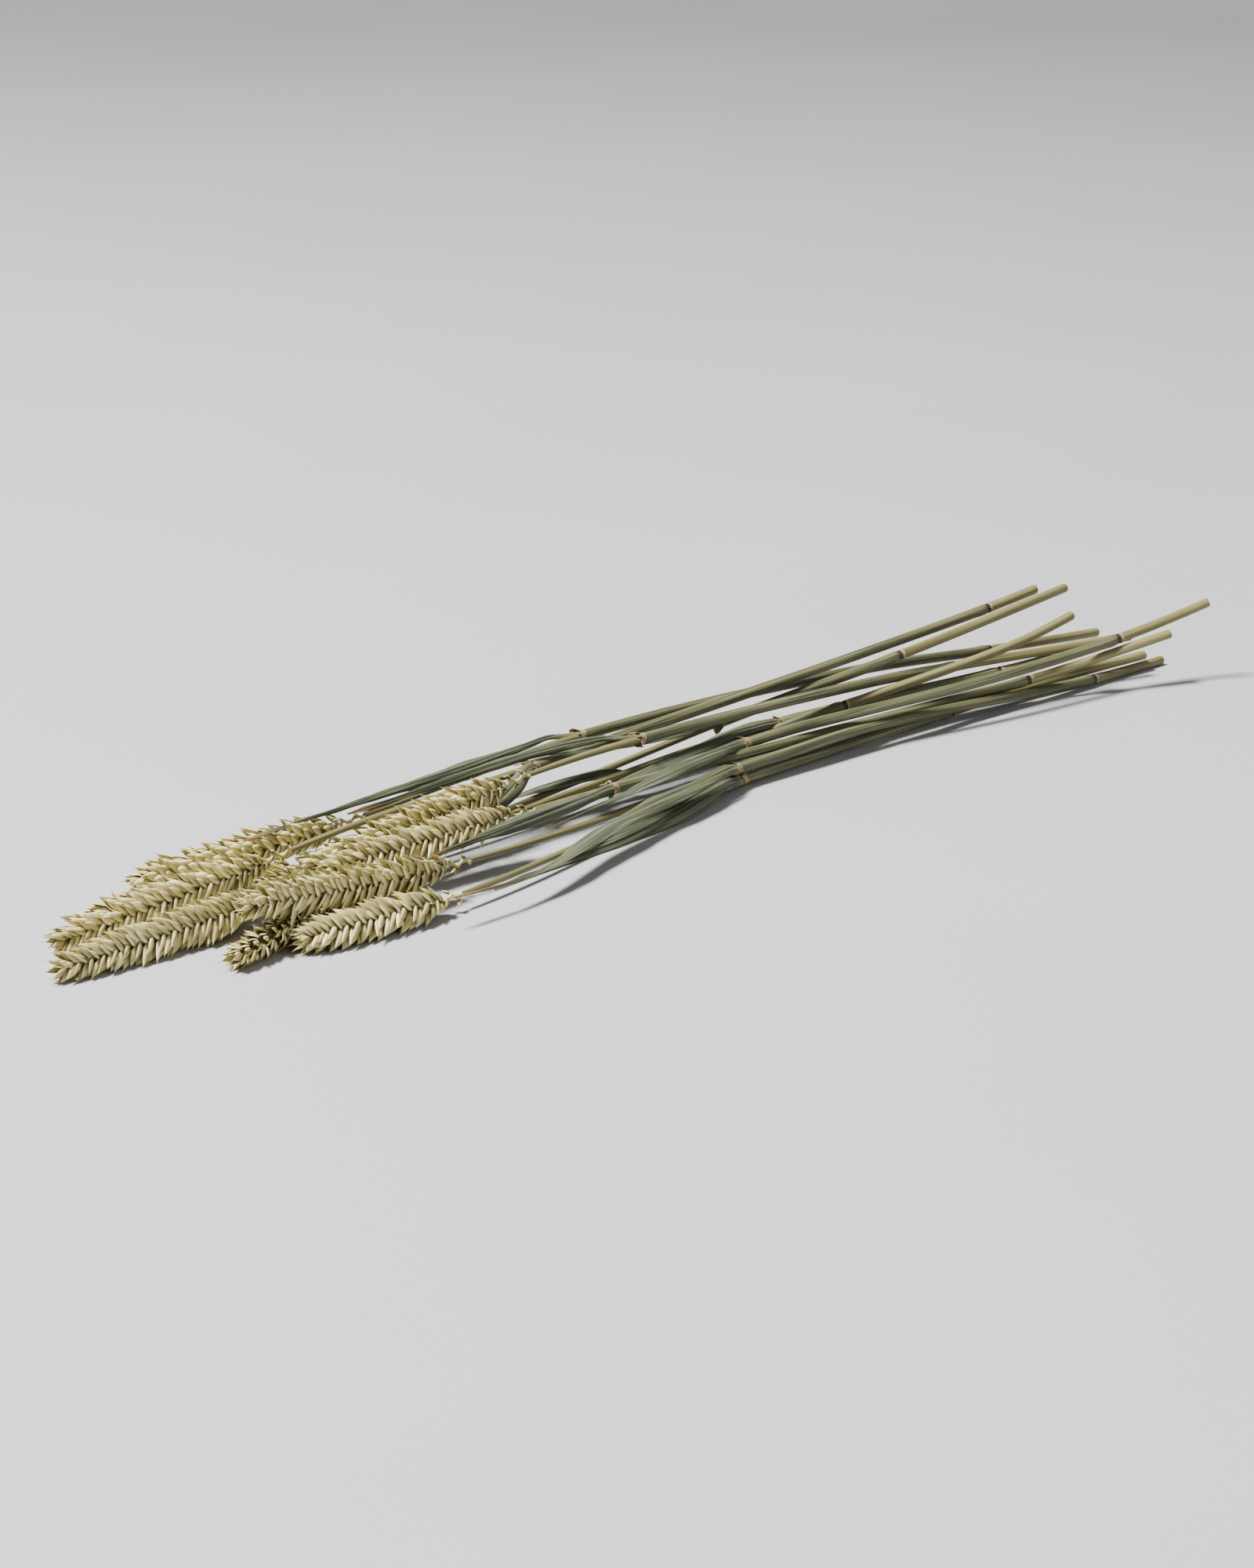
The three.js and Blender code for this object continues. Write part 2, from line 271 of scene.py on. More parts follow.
def husk(skin, root, ahead, out, length, width, depth, curl, awn, tone):
    """Adds a husk from root towards ahead, with its back towards out."""
    ahead = ahead.normalized()
    out = (out - ahead * out.dot(ahead)).normalized()
    across = ahead.cross(out)
    rings, marks = [], []
    for level in range(HUSK_RINGS):
        share = level / (HUSK_RINGS - 1) * LAST_RING
        full = fullness(share)
        middle = root + ahead * (length * share) + out * (length * curl * share * share)
        ring, mark = [], []
        for i in range(HUSK_SIDES):
            turn = 2 * math.pi * i / HUSK_SIDES
            rise = math.sin(turn)
            height = -HUSK_HOLLOW * rise
            if rise > 0:
                height = rise + HUSK_KEEL * rise ** KEEL_CREST
            sideways = across * (width * full * math.cos(turn))
            ring.append(middle + sideways + out * (depth * height * full ** 0.8))
            mark.append((math.cos(turn) * width / MM, rise, share * length / MM, share))
        rings.append(ring)
        marks.append(mark)
    whole = length + awn
    tip = root + ahead * whole + out * (whole * curl + 0.15 * depth)
    skin.shell(rings, marks, tone, peak=tip)


print("a husk's half width along its length:", [round(fullness(i / 5), 2) for i in range(6)])

# %% [markdown]
# ## An ear
# Small ears called spikelets sit left and right of a zigzag stem, in turn. Each one is a fan of
# husks: two short glumes outside, then two pairs of florets, then one in the middle. From the front
# the two rows look like a plait. Near the straw the last husks are tiny, and the stem shows its knobs.
# Copies of one spikelet would be lighter but all alike, so each husk is grown with its own size.

# %% The spikelets
SPIKELET_PITCH = 4.9 * MM  # in one row, as in the frame's ears
BARE_FROM = 0.9  # share of the ear's length, from its tip, where the bare stem starts
# Length, half width, depth, distance up the spikelet, fan angle and curl, in mm and radians
HUSKS = [
    (8.2, 2.1, 1.25, -0.8, 0.42, 0.08),  # the glume
    (9.8, 2.1, 1.3, 1.0, 0.26, 0.08),  # the outer floret
    (8.4, 1.7, 1.1, 3.0, 0.12, 0.04),  # the inner floret
]
MIDDLE_HUSK = (6.4, 1.5, 1.1, 4.2)  # length, half width, depth and distance up, in mm
WAG = 0.06  # how far a husk or a spikelet strays from its place, in radians
FIRST_SPIKELET = 3 * MM  # from the tip


def spikelet_size(share):
    """The size of a spikelet at a share of the ear's length from its tip."""
    near_tip = 0.66 + 0.34 * share / 0.2
    near_neck = 0.6 + 0.4 * (BARE_FROM - share) / 0.16
    return min(1.0, near_tip) * min(1.0, max(0.0, near_neck))


def spikelet(skin, at, out, front, ahead, size, lean, rng):
    """Adds a fan of seven husks. out points away from the stem, and front across the fan."""
    axis = ahead * math.cos(lean) + out * math.sin(lean)
    scale = size * MM
    for hand in (-1, 1):
        for length, width, depth, up, fan, curl in HUSKS:
            wag = rng.normal(0, WAG, 3)
            root = at + axis * (up * scale) + front * (hand * (1.7 - 0.3 * up) * scale)
            towards = axis + front * (hand * (fan + wag[0])) + out * wag[1]
            back = front * hand + out * (0.75 - 0.2 * up)
            grown = length * scale * rng.uniform(0.88, 1.1)
            awn = rng.uniform(0.3, 1.6) * scale
            husk(skin, root, towards, back, grown, width * scale, depth * scale, curl + wag[2], awn,
                 rng.random())
    length, width, depth, up = [part * scale for part in MIDDLE_HUSK]
    awn = rng.uniform(0.3, 1.2) * scale
    husk(skin, at + axis * up, axis + out * 0.1, out, length, width, depth, 0.0, awn, rng.random())


print("spikelets' sizes from tip to neck:", [round(spikelet_size(i / 8), 2) for i in range(9)])

# %% [markdown]
# ### The tip and the stem of an ear
# The last spikelet closes the ear with a rosette of husks that looks ahead, and some ears still have
# a thin awn or two there. Under the husks a zigzag stem carries them. It shows near the straw, where
# only torn scales are left on its knobs. A straight rod would do under the husks but not there.

# %% The tip of an ear
TIP_HUSKS = 6
LONG_AWNS = {3: 8.0, 5: 7.0}  # mm, on the two ears that still have some
SHORT_AWNS = 2.6  # mm, on the others


def tip_husks(skin, line, roll, longest, rng):
    """The last spikelet, a rosette that looks ahead, with awns of up to longest mm."""
    at, along, side, up = line.frame(4 * MM, roll)
    for i in range(TIP_HUSKS):
        turn = 2 * math.pi * i / TIP_HUSKS + rng.uniform(0, 0.6)
        out = side * math.cos(turn) + up * math.sin(turn)
        towards = -along + out * rng.uniform(0.12, 0.4)
        awn = rng.uniform(0.6, longest) * MM
        husk(skin, at + out * 0.6 * MM, towards, out, 7.2 * MM, 1.3 * MM, 0.9 * MM, 0.04, awn, rng.random())


print("longest awns, in mm:", LONG_AWNS)

# %% The stem of an ear
STEM_SIDES = 8
KNOB_PITCH = SPIKELET_PITCH / 2 / 0.75  # between two knobs, which are not all under a spikelet


def ear_stem(skin, line, roll, rng):
    """The zigzag stem. Its knobs carry the spikelets, and torn little scales where it is bare."""
    rings, marks = [], []
    far = line.length + 1.5 * MM
    while far > 6 * MM:
        beat = far / KNOB_PITCH
        bare = ease((far / line.length - 0.7) / 0.15)
        knob = 0.65 + 0.5 * abs(math.cos(math.pi * beat)) ** 3
        point, along, side, up = line.frame(far, roll)
        middle = point + side * (0.8 * MM * bare * math.cos(math.pi * beat))
        ring, mark = [], []
        for i in range(STEM_SIDES):
            turn = 2 * math.pi * i / STEM_SIDES
            ring.append(middle + (side * math.cos(turn) + up * math.sin(turn) * 0.85) * (knob * MM))
            mark.append((math.cos(turn), math.sin(turn), far / MM, 0.6))
        rings.append(ring)
        marks.append(mark)
        if bare > 0.9 and math.cos(math.pi * beat) ** 2 > 0.95 and far < line.length:
            hand = math.copysign(1, math.cos(math.pi * beat))
            for _ in range(2):
                spread = side * (hand * rng.uniform(0.4, 0.9)) + up * rng.normal(0, 0.4)
                husk(skin, middle + side * (hand * 0.6 * MM), spread - along, side * hand, 3.2 * MM,
                     0.95 * MM, 0.7 * MM, 0.05, 0.3 * MM, rng.random())
        far -= SPIKELET_PITCH / 12
    skin.shell(rings, marks, 0.8)


print("distance between two knobs, in mm:", round(KNOB_PITCH / MM, 2))

# %% The ears
PLAIT = 1.95  # how far an ear is rolled, in radians, to show both its rows
ROLLS = [2.15, 0.9, PLAIT, 1.6, 0.85, 1.8, PLAIT, 1.2, 1.5, 1.75]


def ear(number):
    """The skin of one ear, from its tip to its neck."""
    line = lines[f"ear_{number:02d}"]
    rng = np.random.default_rng(number)
    skin = Skin()
    roll = ROLLS[number - 1]
    count = int((BARE_FROM * line.length - FIRST_SPIKELET) / SPIKELET_PITCH * 2)
    for i in range(1, count + 1):
        far = i * SPIKELET_PITCH / 2 + FIRST_SPIKELET
        share = far / line.length
        size = spikelet_size(share) * rng.uniform(0.93, 1.08)
        hand = 1 if i % 2 else -1
        at, along, side, up = line.frame(far, roll + rng.normal(0, WAG))
        lean = 0.36 + 0.26 * min(1.0, share / 0.3) + rng.normal(0, 0.07)
        spikelet(skin, at + side * (hand * 0.4 * MM), side * hand, up, -along, size, lean, rng)
    tip_husks(skin, line, roll, LONG_AWNS.get(number, SHORT_AWNS), rng)
    ear_stem(skin, line, roll, rng)
    return skin


ear_skins = {number: ear(number) for number in range(1, STALKS + 1)}
print("faces in each ear:", [len(skin.faces) for skin in ear_skins.values()])

# %% [markdown]
# ## A straw
# A wheat straw is a hollow stem. A leaf sheath wraps most of it, from the knot up to a mouth near the
# ear, and its free edge shows as a long seam. At the knot the sheath ends in a swollen foot, then
# come a dark band and a pale one, and then the naked straw to its cut end. A bevelled curve would
# give a plain tube, so the tube is lofted from rings, with its radius written down as a profile. At
# the cut it turns back inside itself, so the straw is hollow there.

# %% The profile of a straw
STRAW_STEP = 5 * MM  # the longest step between two rings
NECK_RADIUS = 1.0 * MM  # under the ear
SHEATH, STEM, KNOT, PAPER = 0, 1, 2, 3  # the finishes' places in a straw's list


def landmarks(line):
    """The distances of the sheath's mouth and of the knot along the straw, and the sheath's radius."""
    knot = float(line.far[line.radius > 0.93 * line.radius.max()].mean())
    under = (line.far > knot - 30 * MM) & (line.far < knot - 8 * MM)
    sheath = float(np.median(line.radius[under]))
    mouth = float(line.far[np.argmax(line.radius > 0.95 * sheath)])
    return mouth, knot, sheath


def straw_profile(line, rng):
    """(distance, radius, finish) from the ear to the cut end, and back inside the hollow."""
    mouth, knot, sheath = landmarks(line)
    foot = rng.uniform(1.04, 1.12) * sheath
    end = line.length + 1.2 * MM
    neck = [(-1.5 * MM, NECK_RADIUS, STEM), (12 * MM, 1.2 * MM, STEM), (mouth - 0.6 * MM, 1.5 * MM, STEM)]
    wrapped = [(mouth, sheath * 0.9, SHEATH), (mouth + 2 * MM, sheath, SHEATH)]
    swollen = [(knot - 9 * MM, sheath * 0.98, SHEATH), (knot - 4 * MM, foot, SHEATH)]
    dark_band = [(knot - 1.3 * MM, foot * 0.98, KNOT), (knot - 1.0 * MM, sheath * 0.94, KNOT)]
    pale_band = [(knot + 1.0 * MM, sheath * 0.96, PAPER), (knot + 1.4 * MM, sheath * 1.03, PAPER)]
    naked = [(knot + 2.4 * MM, sheath * 0.98, STEM), (knot + 9 * MM, sheath * 0.92, STEM)]
    cut = [(end - 0.3 * MM, sheath * 0.93, STEM), (end, sheath * 0.9, PAPER), (end, sheath * 0.62, STEM)]
    hollow = [(end - 7 * MM, sheath * 0.58, STEM)]
    return neck + wrapped + swollen + dark_band + pale_band + naked + cut + hollow


def between(profile):
    """The profile with points added wherever two lie further apart than a step."""
    full = [profile[0]]
    for far, radius, finish in profile[1:]:
        last_far, last_radius, last_finish = full[-1]
        count = max(1, round((far - last_far) / STRAW_STEP))
        for i in range(1, count):
            share = i / count
            full.append((last_far + (far - last_far) * share,
                         last_radius + (radius - last_radius) * share, last_finish))
        full.append((far, radius, finish))
    return full


rings_in_first = len(between(straw_profile(lines["straw_01"], np.random.default_rng(101))))
print("the first straw has", rings_in_first, "rings")

# %% [markdown]
# ### Tube and seam
# The rings follow the profile. Where the sheath wraps the stem, one side of each ring steps out and
# sinks back, which leaves the seam. A slow spiral lets that seam wander round the straw.

# %% The straws
STRAW_SIDES = 20
SEAM_STEP = 0.09  # how far the sheath's free edge stands out, as a share of the radius
SEAM_SIDES = 8  # how many sides the step needs to sink back
OVAL = 0.05  # how far a straw is from round, as a share of its radius
OVAL_TURN = 37 * MM  # how slowly that changes along it


def straw(number):
    """The skin of one straw, from the ear to its cut end."""
    line = lines[f"straw_{number:02d}"]
    rng = np.random.default_rng(100 + number)
    skin = Skin()
    seam = rng.uniform(0, 2 * math.pi)
    spiral = rng.normal(0, 2.0)
    rings, marks, finishes = [], [], []
    for far, radius, finish in between(straw_profile(line, rng)):
        middle, _, side, up = line.frame(far, seam + spiral * far)
        edge = SEAM_STEP if finish == SHEATH else 0.0
        oval = OVAL * math.sin(far / OVAL_TURN + seam)
        ring, mark = [], []
        for i in range(STRAW_SIDES):
            turn = 2 * math.pi * i / STRAW_SIDES
            reach = radius * (1 + edge * max(0.0, 1 - i / SEAM_SIDES) + oval * math.cos(2 * turn))
            ring.append(middle + (side * math.cos(turn) + up * math.sin(turn)) * reach)
            mark.append((2 * math.cos(turn), 2 * math.sin(turn), far / MM, far / line.length))
        rings.append(ring)
        marks.append(mark)
        finishes += [finish] * STRAW_SIDES
    skin.shell(rings, marks, rng.random())
    walls = len(finishes) - STRAW_SIDES
    skin.finish[:walls] = finishes[:walls]
    return skin


straw_skins = {number: straw(number) for number in range(1, STALKS + 1)}
found = [landmarks(lines[f"straw_{number:02d}"]) for number in straw_skins]
for place, label in enumerate(("mouths", "knots", "sheath radii")):
    print(label + ", in mm:", [round(marks_found[place] / MM, 1) for marks_found in found])

# %% [markdown]
# ## The mouth of the sheath
# Where the leaf leaves its sheath, a thin papery cuff hugs the straw, and two little claws clasp it.
# On a dry plant the cuff's rim is torn. A flat band would have no thickness to show there, so the
# cuff is a ring of six edges, joined end to start, and its rim points are pulled out at random.

# %% The cuff
CUFF_SIDES = 18
SHORT_TEARS = (0.1, 1.3)  # how far they reach, in mm
LONG_TEAR = 1.9  # mm more, on some of the rim's points
LONG_SHARE = 0.35  # of those points
# Distance from the mouth in mm, radius over the sheath's, and 1 where the edge is torn
CUFF = [(0.8, 1.02, 0), (-0.3, 1.12, 0), (-0.9, 1.26, 1), (-1.0, 1.18, 1), (-0.2, 0.98, 0), (0.7, 0.9, 0)]


def cuff(skin, line, rng):
    """Adds the papery cuff, whose rim has short tears and a few long ones."""
    mouth, _, sheath = landmarks(line)
    ragged = rng.uniform(*SHORT_TEARS, CUFF_SIDES)
    ragged += rng.choice([0, LONG_TEAR], CUFF_SIDES, p=[1 - LONG_SHARE, LONG_SHARE])
    rings, marks = [], []
    for far, wide, torn in CUFF:
        ring, mark = [], []
        for i in range(CUFF_SIDES):
            middle, _, side, up = line.frame(mouth + (far - torn * ragged[i]) * MM)
            turn = 2 * math.pi * i / CUFF_SIDES
            reach = sheath * (wide + torn * 0.2 * ragged[i])
            ring.append(middle + (side * math.cos(turn) + up * math.sin(turn)) * reach)
            mark.append((2 * math.cos(turn), 2 * math.sin(turn), far, 0.5))
        rings.append(ring)
        marks.append(mark)
    skin.shell(rings, marks, rng.random(), finish=PAPER, loop=True)


print("the longest tears, in mm:", round(SHORT_TEARS[1] + LONG_TEAR, 1))

# %% [markdown]
# ### The claws
# The two claws are thin hooks of dry skin beside the cuff. Each is a small tapering tube that goes a
# quarter of the way round the straw, on a line that swings out and back to it.

# %% The claws
CLAW_RINGS = 7
CLAW_SIDES = 6
CLAW_REACH = 1.5  # how far a claw goes round the straw, in radians
CLAW_THICK = 0.5 * MM


def claw(skin, line, start, hand, rng):
    """Adds a thin curved claw that clasps the straw from an angle, to one hand."""
    mouth, _, sheath = landmarks(line)
    rings, marks = [], []
    for level in range(CLAW_RINGS):
        share = level / (CLAW_RINGS - 1)
        middle, along, side, up = line.frame(mouth - (0.3 + 1.8 * share) * MM)
        turn = start + hand * CLAW_REACH * share
        out = side * math.cos(turn) + up * math.sin(turn)
        centre = middle + out * (sheath * (1.12 + 0.35 * math.sin(math.pi * share)))
        thick = CLAW_THICK * (1 - 0.75 * share)
        turns = [2 * math.pi * i / CLAW_SIDES for i in range(CLAW_SIDES)]
        rings.append([centre + (along * math.cos(t) + out * math.sin(t)) * thick for t in turns])
        marks.append([(share, i / CLAW_SIDES, share * 4, share) for i in range(CLAW_SIDES)])
    skin.shell(rings, marks, rng.random(), finish=PAPER)


for number, skin in straw_skins.items():
    rng = np.random.default_rng(200 + number)
    line = lines[f"straw_{number:02d}"]
    cuff(skin, line, rng)
    start = rng.uniform(0, 2 * math.pi)
    claw(skin, line, start, 1, rng)
    claw(skin, line, start + 0.5, -1, rng)
print("cuffs and claws on", len(straw_skins), "straws")

# %% [markdown]
# ## A leaf
# A dry wheat leaf is a ribbed strip, folded along its midrib. At the mouth of its sheath it is nearly
# a tube that clasps the straw. From there it opens, twists and narrows to a brittle tip. Simulated
# cloth could fall like this but not clasp the straw. So each section is an arc of a circle, closed
# into a thin shell, and one number says how far it is folded.

# %% The section of a leaf
LEAF_ACROSS = 16  # how many strips a section has
LEAF_THICK = 0.28 * MM
PLEAT = 0.16 * MM  # how high the ribs stand
MIDRIB = 2.6  # how deep the groove of the midrib is, in pleats
RIPPLE = 0.28 * MM  # how far the dry edges wave
LONG_RIPPLE, SHORT_RIPPLE = 7 * MM, 3.1 * MM  # how slowly they do


def leaf_ring(apex, out, across, half, fold, far, share, held, phase):
    """A thin closed arc round apex. held says how firmly the leaf clasps its straw there."""
    bend = 2 * half / fold
    centre = apex - out * bend
    top, low = [], []
    for k in range(LEAF_ACROSS + 1):
        spot = k / LEAF_ACROSS * 2 - 1
        turn = spot * fold / 2
        rib = PLEAT * (k % 2) * (1 - held) - MIDRIB * PLEAT * max(0.0, 1 - abs(spot) * 5)
        ripple = math.sin(far / LONG_RIPPLE + phase + 2 * spot)
        ripple += 0.6 * math.sin(far / SHORT_RIPPLE - phase * spot)
        wave = RIPPLE * ripple * spot * spot * (1 - held)
        radial = out * math.cos(turn) + across * math.sin(turn)
        thick = LEAF_THICK * (1 - 0.75 * abs(spot)) * (1 - 0.5 * share) * (1 - 0.5 * held)
        top.append(centre + radial * (bend + rib + wave))
        low.append(centre + radial * (bend + wave - thick))
    return top + low[::-1]


print("a leaf section has", 2 * (LEAF_ACROSS + 1), "points")

# %% [markdown]
# ### From section to leaf
# The sections follow the blade of the frame. Near the mouth each is pulled over to the straw, so the
# leaf starts as a sleeve and peels off. Towards the tip it folds up, and its edges wave.

# %% The leaves
LEAF_STEP = 2.5 * MM
FOLDS = [1.5, 1.3, 1.6, 1.2, 1.7, 1.4, 1.8, 1.5, 3.0, 2.2]  # how far each leaf is folded, in radians
LEAF_BREADTH = 1.05  # the unfolded leaf's breadth over the breadth of the frame's blade
LEAF_TIP = 1.2 * MM  # half the breadth that is left near the tip
TIP_LENGTH = 7 * MM  # over which that narrows to a point
LEAF_LEAN = -0.5  # how far a leaf is rolled to its outer side, in radians
CLASP = 14 * MM  # over which a leaf opens from round the straw
CLASP_FOLD = 3.4  # how far it goes round the straw there, in radians


def leaf(number):
    """The skin of one leaf, from the mouth of its sheath to its tip."""
    line = lines[f"blade_{number:02d}"]
    stem = lines[f"straw_{number:02d}"]
    rng = np.random.default_rng(300 + number)
    mouth, _, sheath = landmarks(stem)
    centre, stem_along, _, _ = stem.frame(mouth)
    away = line.point(line.length) - centre
    away = (away - stem_along * away.dot(stem_along)).normalized()
    skin = Skin()
    twist = rng.uniform(0.3, 0.9) * rng.choice([-1, 1])
    phase = rng.uniform(0, 6.28)
    rings, marks = [], []
    count = round(line.length / LEAF_STEP)
    for level in range(count + 1):
        share = level / count
        far = line.length * (1 - share)
        held = ease(1 - level * LEAF_STEP / CLASP)
        roll = LEAF_LEAN + twist * ease(share * 1.3) + 0.12 * math.sin(far / (9 * MM) + phase)
        middle, along, _, up = line.frame(far, roll)
        clasp = sheath * (1.04 + 0.1 * ease(level / 3))
        on_straw = stem.point(mouth + 1.5 * MM - level * LEAF_STEP) + away * clasp
        apex = middle.lerp(on_straw, held)
        out = up.lerp(away, held).normalized()
        across = along.cross(out).normalized()
        half = float(np.interp(far, line.far, line.width)) * LEAF_BREADTH
        half = max(half, LEAF_TIP * min(1.0, far / TIP_LENGTH))
        half = half * (1 - held) + clasp * CLASP_FOLD / 2 * held
        loose = FOLDS[number - 1] + 0.5 * math.sin(far / (23 * MM) + phase) + 0.8 * ease(share * 2 - 1)
        fold = CLASP_FOLD * held + loose * (1 - held)
        rings.append(leaf_ring(apex, out, across, half, fold, far, share, held, phase))
        spots = [k / LEAF_ACROSS * 2 - 1 for k in range(LEAF_ACROSS + 1)]
        marks.append([(spot * half / MM, 0, far / MM, share) for spot in spots + spots[::-1]])
    skin.shell(rings, marks, rng.random())
    return skin


leaf_skins = {number: leaf(number) for number in range(1, STALKS + 1)}
print("leaf lengths, in mm:", [round(lines[f"blade_{n:02d}"].length / MM) for n in leaf_skins])

# %% [markdown]
# ## Nodes in few words
# A material is a small graph. It could be built node by node in the editor, but then it would not be
# written down. A few helpers keep the code short enough to read: one adds a node and fills its
# sockets, one turns a value into a colour by way of a list of stops, and one mixes two colours.

# %% Helpers for nodes
def screen(red, green, blue):
    """A colour as a screen shows it, from 0 to 255, as the linear values that nodes use."""
    parts = [part / 255 for part in (red, green, blue)]
    linear = [part / 12.92 if part < 0.04 else ((part + 0.055) / 1.055) ** 2.4 for part in parts]
    return (*linear, 1.0)


def add(tree, kind, sockets, **settings):
    """Adds a node with its settings, and fills its sockets with values or links."""
    made = tree.nodes.new("ShaderNode" + kind)
    for name, value in settings.items():
        setattr(made, name, value)
    for name, value in sockets.items():
        if isinstance(value, bpy.types.NodeSocket):
            tree.links.new(value, made.inputs[name])
        else:
            made.inputs[name].default_value = value
    return made


def ramp(tree, value, stops):
    """Colours by value, where each stop is (value, colour)."""
    made = add(tree, "ValToRGB", {"Fac": value})
    elements = made.color_ramp.elements
    while len(elements) < len(stops):
        elements.new(0.5)
    for element, (place, colour) in zip(elements, stops):
        element.position = place
        element.color = colour
    return made.outputs["Color"]


def grey(level):
    """A grey as nodes use it."""
    return (level, level, level, 1.0)


def mixed(tree, share, low, high, how="MIX"):
    """Two colours mixed by a share."""
    made = add(tree, "Mix", {0: share, 6: low, 7: high}, data_type="RGBA", blend_type=how)
    return made.outputs[2]


print("a mid straw colour, as the nodes see it:", [round(part, 3) for part in screen(151, 142, 108)])

# %% [markdown]
# ## Fibres and blotches
# Every dry surface here has two things in common: fine fibres that run along the plant, and soft
# blotches where it dried greener or yellower. Both are node groups, used by all the materials. The
# fibres are noise stretched along the grain, and tone shifts the noise, so no two husks match.

# %% The fibres
def new_group(name, inputs, outputs):
    """An empty node group with its sockets, and its two end nodes."""
    group = bpy.data.node_groups.new(name, "ShaderNodeTree")
    for label, value in inputs.items():
        socket = group.interface.new_socket(label, in_out="INPUT", socket_type="NodeSocketFloat")
        socket.default_value = value
    for label in outputs:
        group.interface.new_socket(label, in_out="OUTPUT", socket_type="NodeSocketFloat")
    return group, group.nodes.new("NodeGroupInput"), group.nodes.new("NodeGroupOutput")


def make_fibres():
    """Long streaks for the colour, and finer ones for the relief."""
    group, given, result = new_group("fibres", {"Across": 3.0, "Along": 0.1}, ("Streak", "Height"))
    grain = add(group, "Attribute", {}, attribute_name="grain").outputs["Vector"]
    tone = add(group, "Attribute", {}, attribute_name="tone").outputs["Fac"]
    shift = add(group, "Math", {0: tone, 1: 57.0}, operation="MULTIPLY").outputs[0]
    scale = add(group, "CombineXYZ", {"X": given.outputs[0], "Y": given.outputs[0], "Z": given.outputs[1]})
    stretched = add(group, "VectorMath", {0: grain, 1: scale.outputs[0]}, operation="MULTIPLY").outputs[0]
    wide = add(group, "TexNoise", {"Vector": stretched, "W": shift, "Scale": 0.8, "Detail": 3.0},
               noise_dimensions="4D")
    fine = add(group, "TexNoise", {"Vector": stretched, "W": shift, "Scale": 2.6, "Detail": 2.0},
               noise_dimensions="4D")
    group.links.new(wide.outputs["Fac"], result.inputs["Streak"])
    group.links.new(fine.outputs["Fac"], result.inputs["Height"])
    return group


fibres = make_fibres()
print("the fibres have", len(fibres.nodes), "nodes")


# %% [markdown]
# ### The blotches
# They are broad noise in the plant's own space, cut off so that only its high places show. Painting
# them by hand would look as good from one side, but noise goes round the whole piece.

# %% The blotches
def make_blotches():
    """A mask of soft spots, where the plant dried to another colour."""
    group, given, result = new_group("blotches", {"Size": 40.0, "Cover": 0.5}, ("Mask",))
    place = add(group, "TexCoord", {}).outputs["Object"]
    tone = add(group, "Attribute", {}, attribute_name="tone").outputs["Fac"]
    shift = add(group, "Math", {0: tone, 1: 3.0}, operation="MULTIPLY").outputs[0]
    noise = add(group, "TexNoise", {"Vector": place, "W": shift, "Scale": given.outputs["Size"],
                                    "Detail": 2.0}, noise_dimensions="4D").outputs["Fac"]
    low = add(group, "Math", {0: 0.85, 1: given.outputs["Cover"]}, operation="SUBTRACT").outputs[0]
    high = add(group, "Math", {0: low, 1: 0.25}, operation="ADD").outputs[0]
    mask = add(group, "MapRange", {"Value": noise, "From Min": low, "From Max": high}).outputs[0]
    group.links.new(mask, result.inputs["Mask"])
    return group


blotches = make_blotches()
print("groups:", [group.name for group in (fibres, blotches)])

# %% [markdown]
# ## The finishes
# Each finish starts from its fibres, and then adds its colour along the piece: a husk pales towards
# its tip and is darkened at its root with painted shade, a straw yellows towards its cut end, and a
# leaf turns brown and pink at its tip. The streaks also make the roughness, and the finest fibres
# make the bump.

# %% One finish from its numbers
ROUGH_SPREAD = 0.14  # how much the streaks change the roughness
RELIEF = 0.3 * MM  # how high the finest fibres stand
PATCH_SHARE = 0.55  # how strongly a blotch shows
DARKEST_TONE = 0.78  # the least bright of the husks or leaves, beside the brightest


